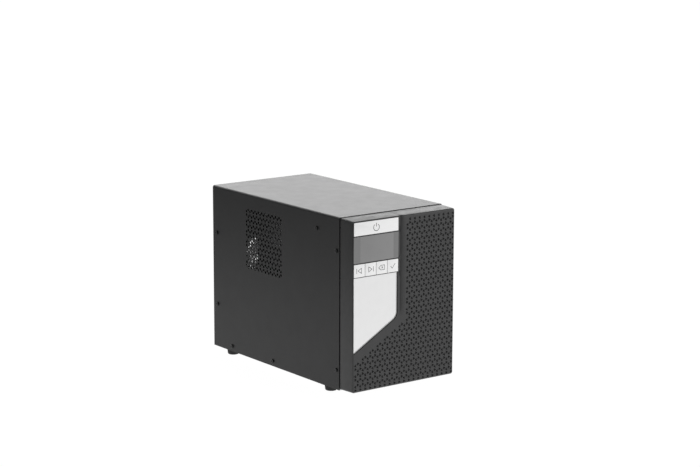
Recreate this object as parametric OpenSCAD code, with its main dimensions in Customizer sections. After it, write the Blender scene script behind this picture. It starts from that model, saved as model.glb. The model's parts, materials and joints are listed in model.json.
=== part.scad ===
// Tower uninterruptible power supply with a front battery drawer.
// Frame: +Z up, the front faces -Y, +X is on the right of a person facing the front.
// The origin is on the floor, at the middle of the footprint.

/* [Case] */
// Width over the steel cover
case_w = 170; // [166:1:215]
// Height of the steel case without its feet
case_h = 229; // [225:1:280]
// Depth of the steel case behind the front cover
case_d = 296; // [290:1:360]
// Thickness of the steel sheet
sheet_t = 1.2; // [0.8:0.1:1.5]
// Outer radius of the cover's two long bends
bend_r = 3; // [2:0.5:6]
// Width of the flanges that the case screws go into
flange = 14; // [12:0.5:18]
// Height of the rubber feet
foot_h = 9; // [6:0.5:14]
// Diameter of the rubber feet
foot_d = 18; // [14:0.5:24]
// Distance of each foot's centre from the side of the case
foot_inset = 13; // [12:0.5:20]

/* [Vents] */
// Side of the square perforated field on each side
vent_side = 84; // [56:1:90]
// Distance between neighbouring vent holes
vent_pitch = 4.7; // [4.2:0.1:6]
// Diameter of a vent hole
vent_hole_d = 3.5; // [2:0.1:3.6]
// Distance from the seam to the vent field
vent_from_seam = 131; // [100:1:140]
// Height of the vent field's lower edge over the case's underside
vent_low = 125; // [124:1:135]

/* [Front cover] */
// Depth of the moulded front cover
bezel_d = 28; // [26:0.5:36]
// Wall thickness of the front cover
bezel_wall = 3; // [2.6:0.1:3.6]
// How far the top and bottom faces lean in towards the front
bezel_lean_z = 1.7; // [0:0.1:3]
// How far the side faces lean in towards the front
bezel_lean_x = 1.2; // [0:0.1:2.5]
// How far the front cover's rim stands inside the outline of the case
bezel_step = 0.8; // [0:0.1:1]
// Open seam between the front cover and the case
seam_gap = 0.9; // [0.3:0.1:1.5]
// Diameter of the locating pegs of the front cover
peg_d = 5; // [4:0.5:6]
// Width of the scooped groove beside the keys
groove_w = 9.2; // [6:0.1:10]
// Radius of the groove's scoop
groove_r = 11.7; // [11.5:0.1:20]

/* [Display and keys] */
// Width of the display column
panel_w = 72.2; // [68:0.1:80]
// Height of the power key
power_key_h = 17.3; // [14:0.1:20]
// Height of the display window
window_h = 34.2; // [30:0.1:40]
// Height of the four small keys
key_h = 16.8; // [13:0.1:20]
// Height of the light trim panel, from the keys to its tip
trim_h = 100.5; // [85:0.1:105]
// Angle of the trim panel's slanted edge over the horizontal
trim_angle = 30; // [25:0.1:38]
// How far the keys travel when pressed
key_travel = 1; // [0.5:0.1:1.2]
// Open gap beside the light trim panel
trim_side_gap = 0.8; // [0.2:0.1:1.5]
// Open gap round each key
key_gap = 0.5; // [0.2:0.05:0.6]

/* [Batteries] */
// Wall of a battery's case
battery_wall = 2.5; // [2:0.1:3.5]
// Length of one battery, along the depth of the case
battery_l = 151; // [120:1:156]
// Width of one battery
battery_w = 65; // [58:0.5:70]
// Height of one battery without its terminals
battery_h = 94; // [85:0.5:98]
// How far the battery drawer pulls out
drawer_travel = 150; // [100:5:180]

/* [Fan and sockets] */
// Side of the square fan
fan_side = 80; // [60:1:82]
// Depth of the fan
fan_depth = 25; // [20:1:32]
// Distance of each fan screw from the sides of the fan
fan_screw_inset = 4.25; // [3.5:0.05:5]
// Distance between neighbouring outlets
outlet_pitch = 34; // [33:0.5:36]
// How far the reset button stands out when tripped
reset_travel = 4; // [2:0.5:6]

/* [Hidden] */
$fn = 48;
eps = 0.01;          // overlap of cuts past a face
fit = 0.15;          // gap between pieces that rest against each other
slide_fit = 0.25;    // gap round pieces that slide

trim_proud = 0.4;    // how far the display column stands out of the front
rear_proud = 6;      // furthest piece behind the case: the reset button's collar
total_d = trim_proud + bezel_d + case_d + rear_proud;

y_front = -total_d / 2 + trim_proud;   // face of the front cover
y_seam = y_front + bezel_d;            // front edge of the steel case
y_rear = y_seam + case_d;              // rear edge of the steel case
z_bot = foot_h;                        // underside of the case
z_top = foot_h + case_h;               // top of the case
half_w = case_w / 2;
in_w = half_w - sheet_t - fit;         // half width inside the cover
flange_in = in_w - sheet_t;            // inner face of the side flanges

// Screw places, as distance from the seam and height over the underside
screw_r = 1.5;
screw_head_r = 2.75;
screw_head_h = 1.5;
screw_hole_r = screw_r + 0.15;
brace_from_seam = 50;
brace_z = case_h - 21.5;
front_screw_y = 7;
rear_screw_y = case_d - 9;
base_screw_z = 7;
foot_cup = 4;                          // the screw head sits in a cup under each foot
side_screws = [
    [front_screw_y, case_h - 44.5], [front_screw_y, 26], [brace_from_seam, brace_z],
    [rear_screw_y, 163], [rear_screw_y, 61], [152, base_screw_z], [251, base_screw_z]
];
feet_at = [
    [-half_w + foot_inset, y_seam + 35], [half_w - foot_inset, y_seam + 35],
    [-half_w + foot_inset, y_rear - 29], [half_w - foot_inset, y_rear - 29]
];

// Battery drawer
rail_h = 4;
rail_x = 45;
rail_w = 12;
tray_z = z_bot + sheet_t + fit + rail_h + slide_fit;   // underside of the drawer
tray_wall_h = 30;
battery_gap = 1;
tray_half = battery_w + battery_gap / 2 + 0.5 + sheet_t;
tray_y0 = y_seam + sheet_t + fit;                      // front of the drawer's box
battery_y0 = tray_y0 + 2;
tray_y1 = battery_y0 + battery_l + 0.5 + sheet_t;
battery_z = tray_z + sheet_t;
terminal_h = 6;
cells = 6;
cell_l = (battery_l - battery_wall * (cells + 1)) / cells;
battery_lid = 12;
bay_top = battery_z + battery_h + terminal_h + 2;      // top of the opening in the front plate
bay_half = tray_half + 1;
lip = 5;                                               // overlap of the drawer's face round the opening
face_top = bay_top + 10.5;
shelf_z = face_top + 1.5;                              // underside of the shelf
thumb_x = 55;
thumb_z = bay_top + 5;

// Display column, worked down from the top of the front
panel_margin = 0.8;
panel_x0 = -half_w + bezel_lean_x + panel_margin;
panel_x1 = panel_x0 + panel_w;
row_gap = 1.5;
trim_gap = 0.7;
power_z1 = z_top - bezel_lean_z - 1.6;
power_z0 = power_z1 - power_key_h;
window_z1 = power_z0 - row_gap;
window_z0 = window_z1 - window_h;
key_z1 = window_z0 - row_gap;
key_z0 = key_z1 - key_h;
trim_z1 = key_z0 - trim_gap;
trim_z0 = trim_z1 - trim_h;
trim_x1 = panel_x1 - 1.3;
trim_r = 13;
cap_t = 2;
cap_y1 = y_front - trim_proud + cap_t;
pad_l = 1.3;                          // pad behind a key's cap
stop_gap = 0.1;                       // left between a pressed pad and its switch
pocket_d = cap_t + key_travel + 0.2;
pocket_floor = 2.4;
floor_y1 = y_front + pocket_d + pocket_floor;
board_y = floor_y1 + 3.4;             // front of the display board
board_t = 1.6;
pad_y1 = cap_y1 + pad_l;
switch_top_y = pad_y1 + key_travel + stop_gap;
window_t = 2;
window_y1 = y_front - trim_proud + window_t;
groove_x0 = panel_x1 + 3;             // foot of the groove's upright side
groove_x1 = groove_x0 + groove_w;     // where the scoop runs out into the face
groove_depth = groove_r - sqrt(groove_r * groove_r - groove_w * groove_w);
groove_z0 = trim_z0 + 47.6;
groove_back = 2;                      // wall behind the groove's deepest line
trim_pocket = 1.4;
pin_inset = 4;                        // from a key's side to its guide pin
pin_r = 1;
small_keys = 4;
small_key_w = panel_w / small_keys;

// Pegs and the connector of the front cover
peg_x = half_w - 8;
peg_fit = 0.08;
boss_r = 4.4;
peg_places = [[-peg_x, z_bot + 24], [-peg_x, key_z0 - 12], [peg_x, z_bot + 24], [peg_x, z_top - 14]];
plug_x = -25;
plug_z = z_top - 40;

// Electronics over the shelf
pcb_z = shelf_z + sheet_t + fit + 8;
pcb_t = 1.6;
pcb_half = in_w - sheet_t - 7;
pcb_y0 = y_seam + 70;
pcb_y1 = y_rear - fan_depth - 16;
sink_y0 = y_seam + vent_from_seam;
sink_l = vent_side;
sink_h = 62;

// Rear panel
panel_y = y_rear - sheet_t;           // inner face of the rear panel
fan_x = -half_w + 47;
fan_z = z_bot + vent_low + vent_side / 2;
fan_open_r = fan_side / 2 - 2;
fan_screw_pitch = fan_side - 2 * fan_screw_inset;
row_z = [z_bot + 88, z_bot + 48];
outlet_count = 3;
bank_w = outlet_count * outlet_pitch + 4;
bank_x = -half_w + 7 + bank_w / 2;
bank_h = 28;
flange_out = 2;
socket_depth = 15;
inlet_x = half_w - 28;
usb_x = 22;
serial_x = 54;
port_z = z_bot + 163;
surge_x = 38;
surge_z = z_bot + 137;
surge_pitch = 17;
shelf_screw_z = shelf_z + sheet_t + 7;
shelf_front_x = [-60, 60];
shelf_rear_x = [fan_x + fan_side / 2 + 10, half_w - 19];
shelf_tab_w = 16;
slot_x = 44;
slot_z = z_bot + 198;
slot_w = 66;
slot_h = 26;

// Battery plug on the drawer's back and its socket in the case
socket_x = 40;
socket_z = battery_z + battery_h - 14;
plug_l = 8.5;
plug_pin_l = 13;
contact_dx = 6.5;
socket_y = tray_y1 + plug_l + 1;
socket_l = 18;
lead_y = socket_y + socket_l + 10;

// Leads: from the socket's back up to the main board, and from the batteries to the plug
dc_route = [[0, 0], [5, 0.5], [9, 5], [10, 13], [10, 24], [10, 34]];
dc_lead_r = 2.2;
lead_r = 1.7;
lead_z = battery_z + battery_h + 4;
lead_drop_y = tray_y1 + plug_l / 2 + fit;
blade_reach = 3.6;
plug_top_z = socket_z + 6.5;

// Transformer behind the battery bay
core_w = 100;
core_h = 84;
core_t = 56;
core_leg = 17;
coil_t = 78;
core_y = tray_y1 + 36 + core_t / 2;
core_z = z_bot + sheet_t + 2 * fit + 1.5;

// ---- Shared shapes ----

// A box between two corners.
module block(lo, hi) {
    translate(lo) cube(hi - lo);
}

// The same box on both sides, from lo to hi on the right and mirrored on the left.
module both_sides(lo, hi) {
    block(lo, hi);
    block([-hi.x, lo.y, lo.z], [-lo.x, hi.y, hi.z]);
}

// A round bar along Y from y0 to y1.
module bar_y(x, z, y0, y1, r) {
    translate([x, y0, z]) rotate([-90, 0, 0]) cylinder(h = y1 - y0, r = r);
}

// A round bar along X from x0 to x1.
module bar_x(x0, x1, y, z, r) {
    translate([x0, y, z]) rotate([0, 90, 0]) cylinder(h = x1 - x0, r = r);
}

// A flat rectangle with round corners, from lo to hi.
module round_rect(lo, hi, r) {
    translate(lo + [r, 0]) square([hi.x - lo.x - 2 * r, hi.y - lo.y]);
    translate(lo + [0, r]) square([hi.x - lo.x, hi.y - lo.y - 2 * r]);
    for (x = [lo.x + r, hi.x - r], y = [lo.y + r, hi.y - r])
        translate([x, y]) circle(r);
}

// Stands an X-Z outline up and runs it along Y from y0 to y1.
module along_y(y0, y1) {
    translate([0, y1, 0]) rotate([90, 0, 0]) linear_extrude(y1 - y0) children();
}

// A pan-head screw along +Y with a cross recess, its head's seat at [x, y, z].
module screw_y(x, y, z, len, r = screw_r, head_r = screw_head_r, head_h = screw_head_h) {
    difference() {
        union() {
            bar_y(x, z, y - head_h / 2, y + len, r);
            bar_y(x, z, y - head_h, y, head_r);
        }
        for (a = [0, 90])
            translate([x, y - head_h, z]) rotate([0, a, 0])
                cube([head_r * 1.2, head_h, 0.7], center = true);
    }
}

// Places its children so that what points along +Y from the origin points along +X.
module facing_x(x, y, z) {
    translate([x, y, z]) rotate([0, 0, -90]) children();
}

// Holes of the perforated field: a triangular grid without every third place.
function vent_places(side, pitch) = [
    for (q = [0 : floor(side / (pitch * cos(30)))], r = [-floor(side / pitch) : ceil(side / pitch)])
        let (y = q * pitch * cos(30), z = (r + q / 2) * pitch)
            if ((q - r + 300) % 3 != 0 && z >= 0 && z <= side) [y, z]
];

// A tube of radius r swept along smooth points.
function unit(v) = v / norm(v);
function tangent(p, i) = unit(p[min(i + 1, len(p) - 1)] - p[max(i - 1, 0)]);
function spline(p, i, t) =
    let (a = p[max(i - 1, 0)], b = p[i], c = p[i + 1], d = p[min(i + 2, len(p) - 1)])
        0.5 * (2 * b + (c - a) * t + (2 * a - 5 * b + 4 * c - d) * t * t
               + (3 * b - a - 3 * c + d) * t * t * t);
function smooth(p, n) = concat([for (i = [0 : len(p) - 2], k = [0 : n - 1]) spline(p, i, k / n)],
                               [p[len(p) - 1]]);
module lead(points, r, up = [1, 0.3, 0.2], sides = 8, steps = 4) {
    p = smooth(points, steps);
    rings = len(p);
    ring = [for (i = [0 : rings - 1])
        let (t = tangent(p, i), u = unit(cross(t, up)), v = cross(t, u))
            for (k = [0 : sides - 1]) p[i] + r * (cos(360 * k / sides) * u + sin(360 * k / sides) * v)];
    walls = [for (i = [0 : rings - 2], k = [0 : sides - 1])
        let (a = i * sides + k, b = i * sides + (k + 1) % sides) [a, a + sides, b + sides, b]];
    polyhedron(ring, concat([[for (k = [0 : sides - 1]) k]], walls,
                            [[for (k = [sides - 1 : -1 : 0]) (rings - 1) * sides + k]]), convexity = 6);
}

// ---- Steel case ----

module side_screw_holes() {
    for (s = side_screws)
        bar_x(-half_w - eps, half_w + eps, y_seam + s.x, z_bot + s.y, screw_hole_r);
}

module cover_outline(inset) {
    r = bend_r - inset;
    x = half_w - inset;
    translate([-x, z_bot]) square([2 * x, z_top - inset - r - z_bot]);
    round_rect([-x, z_bot + 10], [x, z_top - inset], r);
}

module top_cover() {
    color("#3a3a3a") difference() {
        along_y(y_seam + fit, y_rear) difference() {
            cover_outline(0);
            translate([0, -eps]) cover_outline(sheet_t);
        }
        side_screw_holes();
        for (p = vent_places(vent_side, vent_pitch))
            bar_x(-half_w - eps, half_w + eps, y_seam + vent_from_seam + p.x, z_bot + vent_low + p.y,
                  vent_hole_d / 2);
    }
}

module base_pan() {
    y0 = y_seam + sheet_t + fit;
    y1 = panel_y - fit;
    color("#a9abad") difference() {
        union() {
            block([-in_w, y0, z_bot], [in_w, y1, z_bot + sheet_t]);
            both_sides([flange_in, y0, z_bot], [in_w, y1, z_bot + flange]);
        }
        side_screw_holes();
        for (f = feet_at)
            translate([f.x, f.y, z_bot - eps]) cylinder(h = sheet_t + 2 * eps, r = 2.1);
        for (x = [-1, 1], y = [-1, 1])
            translate([x * (core_w / 2 - 8), core_y + y * (core_t / 2 + 7), z_bot - eps])
                cylinder(h = sheet_t + 2 * eps, r = screw_hole_r + 0.5);
    }
}

// An upright plate inside the cover at y0, with a flange on each side that starts at flange_y0.
module end_plate(y0, flange_y0) {
    along_y(y0, y0 + sheet_t) cover_outline(sheet_t + fit);
    both_sides([flange_in, flange_y0, z_bot + flange + 1], [in_w, flange_y0 + flange, z_top - bend_r - 1]);
}

module front_plate() {
    color("#a9abad") difference() {
        end_plate(y_seam, y_seam);
        block([-bay_half, y_seam - eps, tray_z - 0.5], [bay_half, y_seam + sheet_t + eps, bay_top]);
        for (p = peg_places)
            bar_y(p.x, p.y, y_seam - eps, y_seam + sheet_t + eps, peg_d / 2 + peg_fit);
        for (s = [-1, 1])
            bar_y(s * thumb_x, thumb_z, y_seam - eps, y_seam + sheet_t + eps, 2 + slide_fit);
        for (x = shelf_front_x)
            bar_y(x, shelf_screw_z, y_seam - eps, y_seam + sheet_t + eps, screw_hole_r);
        block([plug_x - 11, y_seam - eps, plug_z - 4.5],
              [plug_x + 11, y_seam + sheet_t + eps, plug_z + 4.5]);
        side_screw_holes();
    }
}

module shelf_tab(x, y) {
    block([x - shelf_tab_w / 2, y, shelf_z], [x + shelf_tab_w / 2, y + sheet_t, shelf_z + flange]);
}

module shelf() {
    y0 = y_seam + sheet_t + fit;
    y1 = panel_y - fit;
    color("#a9abad") difference() {
        union() {
            block([-in_w, y0, shelf_z], [in_w, y1, shelf_z + sheet_t]);
            for (x = shelf_front_x)
                shelf_tab(x, y0);
            for (x = shelf_rear_x)
                shelf_tab(x, y1 - sheet_t);
        }
        for (y = [y_seam, y_rear])
            both_sides([flange_in - fit, y - flange - fit, shelf_z - eps],
                       [in_w + fit, y + flange + fit, shelf_z + sheet_t + eps]);
        for (x = shelf_front_x)
            bar_y(x, shelf_screw_z, y0 - eps, y0 + sheet_t + eps, screw_hole_r);
        for (x = shelf_rear_x)
            bar_y(x, shelf_screw_z, y1 - sheet_t - eps, y1 + eps, screw_hole_r);
        block([socket_x - 13, lead_y - 5, shelf_z - eps],
              [socket_x + 13, lead_y + 5, shelf_z + sheet_t + eps]);
        for (p = standoff_places())
            translate([p.x, p.y, shelf_z - eps]) cylinder(h = sheet_t + 2 * eps, r = 1.6 + fit);
    }
}

module cross_brace() {
    y = y_seam + brace_from_seam;
    z = z_bot + brace_z;
    color("#a9abad") difference() {
        union() {
            block([-in_w, y - 9, z + 8], [in_w, y + 9, z + 8 + sheet_t]);
            both_sides([flange_in, y - 9, z - 7], [in_w, y + 9, z + 8 + sheet_t]);
        }
        side_screw_holes();
    }
}

module rear_panel() {
    color("#3a3a3a") difference() {
        end_plate(panel_y, y_rear - flange);
        side_screw_holes();
        bar_y(fan_x, fan_z, panel_y - eps, y_rear + eps, fan_open_r);
        for (a = [-1, 1], b = [-1, 1])
            bar_y(fan_x + a * fan_screw_pitch / 2, fan_z + b * fan_screw_pitch / 2,
                  panel_y - eps, y_rear + eps, 2.3);
        for (z = row_z)
            block([bank_x - bank_w / 2 + 2 - fit, panel_y - eps, z - bank_h / 2 + 1.5 - fit],
                  [bank_x + bank_w / 2 - 2 + fit, y_rear + eps, z + bank_h / 2 - 1.5 + fit]);
        block([inlet_x - 14 - fit, panel_y - eps, row_z[0] - 10.5 - fit],
              [inlet_x + 14 + fit, y_rear + eps, row_z[0] + 10.5 + fit]);
        bar_y(inlet_x, row_z[1], panel_y - eps, y_rear + eps, 5.5 + fit);
        block([usb_x - 6.2, panel_y - eps, port_z - 5.7], [usb_x + 6.2, y_rear + eps, port_z + 5.7]);
        block([serial_x - 10, panel_y - eps, port_z - 6], [serial_x + 10, y_rear + eps, port_z + 6]);
        block([surge_x - surge_pitch - 0.2, panel_y - eps, surge_z - 7.2],
              [surge_x + surge_pitch + 0.2, y_rear + eps, surge_z + 7.2]);
        block([slot_x - slot_w / 2 + 6, panel_y - eps, slot_z - slot_h / 2 + 4],
              [slot_x + slot_w / 2 - 6, y_rear + eps, slot_z + slot_h / 2 - 4]);
        for (p = panel_screw_places())
            bar_y(p.x, p.y, panel_y - eps, y_rear + eps, screw_hole_r);
    }
}

module tray_rails() {
    color("#dcdcd6") for (s = [-1, 1])
        block([s * rail_x - rail_w / 2, tray_y0 + 3, z_bot + sheet_t + fit],
              [s * rail_x + rail_w / 2, tray_y1 + 6, z_bot + sheet_t + fit + rail_h]);
}

module feet() {
    color("#161616") for (f = feet_at)
        translate([f.x, f.y, 0]) difference() {
            rotate_extrude() {
                polygon([[0, 0], [foot_d / 2 - 3, 0], [foot_d / 2 - 1, 2], [foot_d / 2, foot_h],
                         [0, foot_h]]);
                translate([foot_d / 2 - 3, 2]) circle(2);
            }
            translate([0, 0, -eps]) cylinder(h = foot_cup + eps, r = 4.2);
            cylinder(h = foot_h + eps, r = 2.1);
        }
}

module foot_screws() {
    color("#8d8f91") for (f = feet_at)
        translate([f.x, f.y, 0]) rotate([90, 0, 0])
            screw_y(0, foot_cup, 0, foot_h + sheet_t + 1 - foot_cup, 1.95, 3.6);
}

module cover_screws() {
    color("#202020") for (s = side_screws) {
        facing_x(-half_w, y_seam + s.x, z_bot + s.y) screw_y(0, 0, 0, sheet_t + flange / 2 - 2);
        mirror([1, 0, 0]) facing_x(-half_w, y_seam + s.x, z_bot + s.y)
            screw_y(0, 0, 0, sheet_t + flange / 2 - 2);
    }
}

// Screws of the shelf, from the front plate and the rear panel, and of the transformer.
module chassis_screws() {
    color("#b9bbbd") {
        for (x = shelf_front_x)
            screw_y(x, y_seam, shelf_screw_z, 7);
        for (x = [-1, 1], y = [-1, 1])
            translate([x * (core_w / 2 - 8), core_y + y * (core_t / 2 + 7), core_z - fit])
                rotate([-90, 0, 0]) screw_y(0, 0, 0, 5.5);
    }
}

// ---- Fan ----

module fan_frame() {
    y0 = panel_y - fit - fan_depth;
    y1 = panel_y - fit;
    c = fan_side / 2;
    strut_r = fan_open_r + 1;
    color("#1b1b1b") difference() {
        union() {
            difference() {
                along_y(y0, y1) round_rect([fan_x - c, fan_z - c], [fan_x + c, fan_z + c], 4);
                bar_y(fan_x, fan_z, y0 - eps, y1 + eps, fan_open_r);
            }
            bar_y(fan_x, fan_z, y0 + 0.5, y0 + 3, 15);
            for (a = [45, 135, 225, 315])
                translate([fan_x, y0 + 0.8, fan_z]) rotate([0, a, 0])
                    translate([10, 0, -2.5]) cube([strut_r - 10, 1.9, 5]);
        }
        for (a = [-1, 1], b = [-1, 1])
            bar_y(fan_x + a * fan_screw_pitch / 2, fan_z + b * fan_screw_pitch / 2,
                  y0 - eps, y1 + eps, 1.9);
        bar_y(fan_x, fan_z, y0 - eps, y0 + 3 + eps, 1.55);
    }
}

module fan_rotor() {
    y0 = panel_y - fit - fan_depth + 3.6;
    y1 = panel_y - fit - 3;
    hub_r = 16;
    blades = 7;
    color("#222222") union() {
        bar_y(fan_x, fan_z, y0, y1, hub_r);
        bar_y(fan_x, fan_z, y0 - 3.2, y0 + eps, 1.5);
        intersection() {
            bar_y(fan_x, fan_z, y0, y1, fan_open_r - 1.2);
            union() for (k = [0 : blades - 1])
                translate([fan_x, (y0 + y1) / 2, fan_z]) rotate([0, k * 360 / blades, 0])
                    rotate([38, 0, 0]) translate([hub_r - 2, -1, -11]) cube([fan_open_r, 2, 22]);
        }
    }
}

module fan_guard() {
    wire = 0.9;
    y = y_rear + wire + fit;
    ear = fan_screw_pitch / 2;
    color("#c9cbcd") union() {
        for (r = [11, 20, 29, 38])
            translate([fan_x, y + 1, fan_z]) rotate([90, 0, 0]) rotate_extrude()
                translate([r, 0]) circle(wire, $fn = 24);
        for (a = [45, 135])
            translate([fan_x, y, fan_z]) rotate([0, a, 0])
                translate([-ear * sqrt(2) + 2, 0, 0]) rotate([0, 90, 0])
                    cylinder(h = 2 * ear * sqrt(2) - 4, r = wire, $fn = 24);
        for (a = [-1, 1], b = [-1, 1]) difference() {
            bar_y(fan_x + a * ear, fan_z + b * ear, y - wire, y + wire, 4.2);
            bar_y(fan_x + a * ear, fan_z + b * ear, y - 2, y + 2, 2.3);
        }
    }
}

module fan_screws() {
    head_y = y_rear + fit + 1.8;
    color("#202020") for (a = [-1, 1], b = [-1, 1])
        translate([fan_x + a * fan_screw_pitch / 2, head_y, fan_z + b * fan_screw_pitch / 2])
            rotate([0, 0, 180]) screw_y(0, 0, 0, 14, 1.8, 3.6, 2);
}

// ---- Rear sockets ----

// Outline of an appliance plug: a rectangle with its two upper corners cut off.
module plug_outline(w, h, cut) {
    polygon([[-w / 2, -h / 2], [w / 2, -h / 2], [w / 2, h / 2 - cut], [w / 2 - cut, h / 2],
             [-w / 2 + cut, h / 2], [-w / 2, h / 2 - cut]]);
}

// The three contacts of an appliance socket: earth above, live and neutral below.
module contact_places() {
    for (p = [[0, 2], [-7, -2], [7, -2]]) translate(p) children();
}

module outlet_bank(z) {
    y0 = y_rear + flange_out;
    y1 = y0 - flange_out - 22;
    color("#121212") difference() {
        union() {
            along_y(y_rear + fit, y0)
                round_rect([bank_x - bank_w / 2, z - bank_h / 2], [bank_x + bank_w / 2, z + bank_h / 2], 2);
            block([bank_x - bank_w / 2 + 2, y1, z - bank_h / 2 + 1.5],
                  [bank_x + bank_w / 2 - 2, y_rear + fit + eps, z + bank_h / 2 - 1.5]);
        }
        for (k = [0 : outlet_count - 1])
            translate([bank_x + (k - (outlet_count - 1) / 2) * outlet_pitch, 0, z]) {
                along_y(y0 - socket_depth, y0 + eps) difference() {
                    plug_outline(30, 22.5, 6);
                    plug_outline(23.8, 16.3, 4.5);
                }
                along_y(y0 - 12, y0 + eps) contact_places() square([2.4, 4.6], center = true);
            }
    }
}

module ac_inlet() {
    y0 = y_rear + flange_out;
    z = row_z[0];
    color("#121212") difference() {
        union() {
            along_y(y_rear + fit, y0) round_rect([inlet_x - 15.5, z - 12], [inlet_x + 15.5, z + 12], 2);
            block([inlet_x - 14, y_rear - 22, z - 10.5], [inlet_x + 14, y_rear + fit + eps, z + 10.5]);
        }
        translate([inlet_x, 0, z]) along_y(y0 - 17, y0 + eps) plug_outline(24.4, 16.8, 4.5);
        translate([inlet_x, 0, z]) along_y(y_rear - 23, y0 - 16)
            contact_places() square([2 + 2 * 0.05, 4 + 2 * 0.05], center = true);
    }
}

module inlet_pins() {
    color("#c8c0a0") translate([inlet_x, 0, row_z[0]])
        along_y(y_rear - 29, y_rear + flange_out - 2) contact_places() square([2, 4], center = true);
}

module breaker_body() {
    z = row_z[1];
    color("#151515") difference() {
        union() {
            bar_y(inlet_x, z, y_rear + fit, y_rear + 2.8, 8);
            bar_y(inlet_x, z, panel_y - 1, y_rear + 3.8, 5.5);
            block([inlet_x - 8, panel_y - 29, z - 14], [inlet_x + 8, panel_y - fit, z + 14]);
        }
        bar_y(inlet_x, z, y_rear - 16, y_rear + 3.8 + eps, 3.4 + slide_fit);
    }
}

module breaker_button() {
    z = row_z[1];
    color("#b8201c") union() {
        bar_y(inlet_x, z, y_rear - 12, y_rear + 4.6, 3.4);
        bar_y(inlet_x, z, y_rear + 4.2, y_rear + rear_proud, 2.9);
    }
}

module usb_port() {
    color("#b9bbbd") difference() {
        block([usb_x - 6, y_rear - 15, port_z - 5.5], [usb_x + 6, y_rear + 0.6, port_z + 5.5]);
        difference() {
            block([usb_x - 4.3, y_rear - 10, port_z - 4], [usb_x + 4.3, y_rear + 1, port_z + 4]);
            block([usb_x - 2.8, y_rear - 11, port_z - 1.6], [usb_x + 2.8, y_rear - 0.5, port_z + 1.6]);
        }
    }
}

module serial_port() {
    y0 = y_rear + 5.5;
    color("#b9bbbd") difference() {
        union() {
            along_y(y_rear + fit, y_rear + 1) round_rect([serial_x - 15.4, port_z - 6.2],
                                                   [serial_x + 15.4, port_z + 6.2], 1);
            translate([serial_x, 0, port_z]) along_y(y_rear - 10, y0)
                polygon([[-8.4, 4.2], [8.4, 4.2], [7, -4.2], [-7, -4.2]]);
            for (s = [-1, 1])
                bar_y(serial_x + s * 12.5, port_z, y_rear + 1 - eps, y0 - 0.5, 2.4);
        }
        for (k = [-2 : 2])
            bar_y(serial_x + k * 2.74, port_z + 1.4, y0 - 6, y0 + eps, 0.6);
        for (k = [-1.5 : 1.5])
            bar_y(serial_x + k * 2.74, port_z - 1.4, y0 - 6, y0 + eps, 0.6);
        for (s = [-1, 1])
            bar_y(serial_x + s * 12.5, port_z, y0 - 6, y0 + eps, 1.3);
    }
}

module surge_ports() {
    color("#151515") difference() {
        block([surge_x - surge_pitch, y_rear - 18, surge_z - 7],
              [surge_x + surge_pitch, y_rear + 0.8, surge_z + 7]);
        for (s = [-0.5, 0.5])
            translate([surge_x + s * surge_pitch, 0, surge_z]) along_y(y_rear - 13, y_rear + 1)
                polygon([[-5.9, -4.5], [5.9, -4.5], [5.9, 2.4], [3, 2.4], [3, 4.6],
                         [-3, 4.6], [-3, 2.4], [-5.9, 2.4]]);
    }
}

module slot_cover() {
    color("#3a3a3a") difference() {
        along_y(y_rear + fit, y_rear + fit + sheet_t)
            round_rect([slot_x - slot_w / 2, slot_z - slot_h / 2],
                       [slot_x + slot_w / 2, slot_z + slot_h / 2], 1.5);
        for (s = [-1, 1])
            bar_y(slot_x + s * (slot_w / 2 - 3.3), slot_z, y_rear, y_rear + 2 * sheet_t, screw_hole_r);
    }
}

// Screws in the rear panel: two for the shelf and two for the slot cover.
function panel_screw_places() = [
    [shelf_rear_x[0], shelf_screw_z], [shelf_rear_x[1], shelf_screw_z],
    [slot_x - slot_w / 2 + 3.3, slot_z], [slot_x + slot_w / 2 - 3.3, slot_z]
];

module panel_screws() {
    color("#202020") for (k = [0 : 3])
        translate([panel_screw_places()[k].x, y_rear + fit + (k > 1 ? sheet_t + fit : 0),
                   panel_screw_places()[k].y])
            rotate([0, 0, 180]) screw_y(0, 0, 0, 6.5);
}

// ---- Transformer ----

module transformer_core() {
    window = (core_w - 2 * core_leg - 2 * core_leg) / 2;
    color("#5b5d60") difference() {
        block([-core_w / 2, core_y - core_t / 2, core_z],
              [core_w / 2, core_y + core_t / 2, core_z + core_h]);
        for (s = [-1, 1])
            translate([s * (core_leg + window / 2), core_y, core_z + core_h / 2])
                cube([window, core_t + 1, core_h - 2 * core_leg], center = true);
    }
}

module transformer_coil() {
    window = (core_w - 2 * core_leg - 2 * core_leg) / 2;
    x = core_leg + window - 1;
    z0 = core_z + core_leg + 0.5;
    z1 = core_z + core_h - core_leg - 0.5;
    color("#c58a32") difference() {
        translate([0, core_y, z0]) linear_extrude(z1 - z0)
            round_rect([-x, -coil_t / 2], [x, coil_t / 2], 8);
        block([-core_leg - fit, core_y - core_t / 2 - fit, z0 - 1],
              [core_leg + fit, core_y + core_t / 2 + fit, z1 + 1]);
    }
}

module transformer_bracket() {
    t = 1.5;
    x = core_w / 2 + fit;
    foot_z = core_z - fit - t;
    color("#8d8f91") difference() {
        union() {
            block([-x - t, core_y - 12, foot_z], [-x, core_y + 12, core_z + core_h + fit + t]);
            block([x, core_y - 12, foot_z], [x + t, core_y + 12, core_z + core_h + fit + t]);
            block([-x, core_y - 12, core_z + core_h + fit], [x, core_y + 12, core_z + core_h + fit + t]);
            block([-x - t, core_y - core_t / 2 - 14, foot_z],
                  [x + t, core_y + core_t / 2 + 14, foot_z + t]);
        }
        for (a = [-1, 1], b = [-1, 1])
            translate([a * (core_w / 2 - 8), core_y + b * (core_t / 2 + 7), core_z - 3])
                cylinder(h = 4, r = screw_hole_r);
    }
}

// ---- Electronics ----

function standoff_places() = [
    for (x = [-1, 1], y = [pcb_y0 + 6, (pcb_y0 + pcb_y1) / 2, pcb_y1 - 6]) [x * (pcb_half - 5), y]
];

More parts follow.
